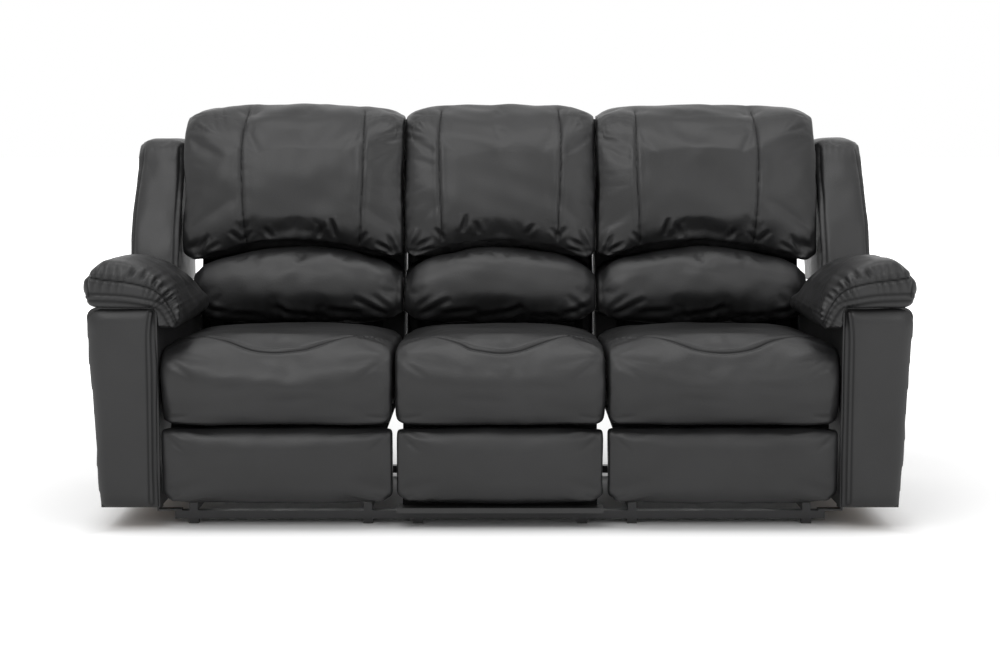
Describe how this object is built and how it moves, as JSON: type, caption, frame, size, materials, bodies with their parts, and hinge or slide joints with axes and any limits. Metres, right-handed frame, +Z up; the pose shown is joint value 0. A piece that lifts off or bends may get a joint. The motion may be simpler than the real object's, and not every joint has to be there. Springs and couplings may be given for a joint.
{
  "type": "reclining sofa",
  "caption": "Three-seat sofa with two reclining outer seats, folding footrests, pillow backs, padded arms and a fixed middle seat.",
  "frame": {"origin": "on the floor under the centre of the sofa's box", "axes": "+X across the sofa to the right of someone facing it, +Y to the back, +Z up"},
  "size_m": [2, 0.9223, 1.0237],
  "materials": {
    "leather": "black bonded leather, fine grain, soft sheen",
    "back_leather": "black leather over stiff card on the backs and arms",
    "board": "raw plywood and softwood boards",
    "black_steel": "black powder coat",
    "zinc_steel": "zinc plated flat bar",
    "webbing": "black elastic webbing",
    "black_plastic": "black moulded plastic"
  },
  "bodies": {
    "base": {"cross_rails": "black_steel", "base_side_rails": "black_steel", "rail_end_caps": "black_plastic", "floor_glides": "black_plastic", "middle_supports": "black_steel", "middle_seat_frame": "board", "middle_seat_webbing": "webbing", "middle_seat_cushion": "leather", "middle_front_panel": "leather", "middle_panel_board": "board", "middle_panel_sill": "black_plastic", "middle_back_frame": "board", "middle_back_cover": "back_leather", "middle_head_pillow": "leather", "middle_lumbar_pillow": "leather", "arm_brackets": "black_steel", "right_arm_frame": "board", "right_arm_cover": "back_leather", "right_arm_pad": "leather", "right_wing": "leather", "right_release_cup": "black_plastic", "left_arm_frame": "board", "left_arm_cover": "back_leather", "left_arm_pad": "leather", "left_wing": "leather", "left_release_cup": "black_plastic"},
    "right_front_swing": {"right_front_swing_links": "leather"},
    "right_rear_swing": {"right_rear_swing_links": "leather"},
    "right_seat": {"right_seat_carriage": "black_steel", "right_seat_frame": "board", "right_seat_webbing": "webbing", "right_seat_cushion": "leather"},
    "right_back": {"right_back_frame": "board", "right_back_cover": "back_leather", "right_head_pillow": "leather", "right_lumbar_pillow": "leather"},
    "right_rear_link": {"right_footrest_rear_links": "zinc_steel"},
    "right_rear_follower": {"right_footrest_rear_followers": "zinc_steel"},
    "right_front_link": {"right_footrest_front_links": "zinc_steel"},
    "right_front_follower": {"right_footrest_front_followers": "zinc_steel"},
    "right_footrest": {"right_footrest_frame": "board", "right_footrest_pad": "leather"},
    "right_lever": {"right_release_handle": "black_plastic"},
    "left_front_swing": {"left_front_swing_links": "leather"},
    "left_rear_swing": {"left_rear_swing_links": "leather"},
    "left_seat": {"left_seat_carriage": "black_steel", "left_seat_frame": "board", "left_seat_webbing": "webbing", "left_seat_cushion": "leather"},
    "left_back": {"left_back_frame": "board", "left_back_cover": "back_leather", "left_head_pillow": "leather", "left_lumbar_pillow": "leather"},
    "left_rear_link": {"left_footrest_rear_links": "zinc_steel"},
    "left_rear_follower": {"left_footrest_rear_followers": "zinc_steel"},
    "left_front_link": {"left_footrest_front_links": "zinc_steel"},
    "left_front_follower": {"left_footrest_front_followers": "zinc_steel"},
    "left_footrest": {"left_footrest_frame": "board", "left_footrest_pad": "leather"},
    "left_lever": {"left_release_handle": "black_plastic"}
  },
  "joints": [
    {"name": "right_front_swing_pivot", "type": "hinge", "parent": "base", "child": "right_front_swing", "pos_m": [0.5385, -0.23, 0.095], "axis": [1, 0, 0], "range_deg": [0, 50.01]},
    {"name": "right_seat_pivot", "type": "hinge", "parent": "right_front_swing", "child": "right_seat", "pos_m": [0.5385, -0.18351, 0.19469], "axis": [1, 0, 0], "range_deg": [-50.01, 0]},
    {"name": "right_rear_swing_pivot", "type": "hinge", "parent": "base", "child": "right_rear_swing", "pos_m": [0.5385, 0.06, 0.095], "axis": [1, 0, 0], "range_deg": [0, 50.01]},
    {"name": "right_recline", "type": "hinge", "parent": "right_seat", "child": "right_back", "pos_m": [0.5385, 0.215, 0.29], "axis": [-1, 0, 0], "range_deg": [0, 38]},
    {"name": "right_footrest_opening", "type": "hinge", "parent": "right_seat", "child": "right_rear_link", "pos_m": [0.5385, -0.325, 0.222], "axis": [-1, 0, 0], "range_deg": [0, 120]},
    {"name": "right_rear_follower_pivot", "type": "hinge", "parent": "right_seat", "child": "right_rear_follower", "pos_m": [0.5385, -0.28796, 0.19826], "axis": [-1, 0, 0], "range_deg": [0, 120.01]},
    {"name": "right_front_link_pivot", "type": "hinge", "parent": "right_rear_link", "child": "right_front_link", "pos_m": [0.5385, -0.22978, 0.09094], "axis": [-1, 0, 0], "range_deg": [-120.01, 0]},
    {"name": "right_front_follower_pivot", "type": "hinge", "parent": "right_rear_link", "child": "right_front_follower", "pos_m": [0.5385, -0.24271, 0.10874], "axis": [-1, 0, 0], "range_deg": [-118.01, 0]},
    {"name": "right_footrest_panel_pivot", "type": "hinge", "parent": "right_front_link", "child": "right_footrest", "pos_m": [0.5385, -0.35, 0.168], "axis": [-1, 0, 0], "range_deg": [0, 92.01]},
    {"name": "right_release", "type": "hinge", "parent": "base", "child": "right_lever", "pos_m": [0.97382, -0.1755, 0.42047], "axis": [0.0557, 0, 0.9984], "range_deg": [0, 28], "stiffness_Nm_per_rad": 0.4, "springref_deg": -14.32},
    {"name": "left_front_swing_pivot", "type": "hinge", "parent": "base", "child": "left_front_swing", "pos_m": [-0.5385, -0.23, 0.095], "axis": [1, 0, 0], "range_deg": [0, 50.01]},
    {"name": "left_seat_pivot", "type": "hinge", "parent": "left_front_swing", "child": "left_seat", "pos_m": [-0.5385, -0.18351, 0.19469], "axis": [1, 0, 0], "range_deg": [-50.01, 0]},
    {"name": "left_rear_swing_pivot", "type": "hinge", "parent": "base", "child": "left_rear_swing", "pos_m": [-0.5385, 0.06, 0.095], "axis": [1, 0, 0], "range_deg": [0, 50.01]},
    {"name": "left_recline", "type": "hinge", "parent": "left_seat", "child": "left_back", "pos_m": [-0.5385, 0.215, 0.29], "axis": [-1, 0, 0], "range_deg": [0, 38]},
    {"name": "left_footrest_opening", "type": "hinge", "parent": "left_seat", "child": "left_rear_link", "pos_m": [-0.5385, -0.325, 0.222], "axis": [-1, 0, 0], "range_deg": [0, 120]},
    {"name": "left_rear_follower_pivot", "type": "hinge", "parent": "left_seat", "child": "left_rear_follower", "pos_m": [-0.5385, -0.28796, 0.19826], "axis": [-1, 0, 0], "range_deg": [0, 120.01]},
    {"name": "left_front_link_pivot", "type": "hinge", "parent": "left_rear_link", "child": "left_front_link", "pos_m": [-0.5385, -0.22978, 0.09094], "axis": [-1, 0, 0], "range_deg": [-120.01, 0]},
    {"name": "left_front_follower_pivot", "type": "hinge", "parent": "left_rear_link", "child": "left_front_follower", "pos_m": [-0.5385, -0.24271, 0.10874], "axis": [-1, 0, 0], "range_deg": [-118.01, 0]},
    {"name": "left_footrest_panel_pivot", "type": "hinge", "parent": "left_front_link", "child": "left_footrest", "pos_m": [-0.5385, -0.35, 0.168], "axis": [-1, 0, 0], "range_deg": [0, 92.01]},
    {"name": "left_release", "type": "hinge", "parent": "base", "child": "left_lever", "pos_m": [-0.97382, -0.1755, 0.42047], "axis": [0.0557, 0, -0.9984], "range_deg": [0, 28], "stiffness_Nm_per_rad": 0.4, "springref_deg": -14.32}
  ],
  "couplings": [
    {"joint": "right_front_swing_pivot", "follows": "right_recline", "ratio": 1.3158},
    {"joint": "right_seat_pivot", "follows": "right_recline", "ratio": -1.3158},
    {"joint": "right_rear_swing_pivot", "follows": "right_recline", "ratio": 1.3158},
    {"joint": "right_rear_follower_pivot", "follows": "right_footrest_opening", "ratio": 1},
    {"joint": "right_front_link_pivot", "follows": "right_footrest_opening", "ratio": -1},
    {"joint": "right_front_follower_pivot", "follows": "right_footrest_opening", "ratio": -0.98333},
    {"joint": "right_footrest_panel_pivot", "follows": "right_footrest_opening", "ratio": 0.76667},
    {"joint": "left_front_swing_pivot", "follows": "left_recline", "ratio": 1.3158},
    {"joint": "left_seat_pivot", "follows": "left_recline", "ratio": -1.3158},
    {"joint": "left_rear_swing_pivot", "follows": "left_recline", "ratio": 1.3158},
    {"joint": "left_rear_follower_pivot", "follows": "left_footrest_opening", "ratio": 1},
    {"joint": "left_front_link_pivot", "follows": "left_footrest_opening", "ratio": -1},
    {"joint": "left_front_follower_pivot", "follows": "left_footrest_opening", "ratio": -0.98333},
    {"joint": "left_footrest_panel_pivot", "follows": "left_footrest_opening", "ratio": 0.76667}
  ]
}
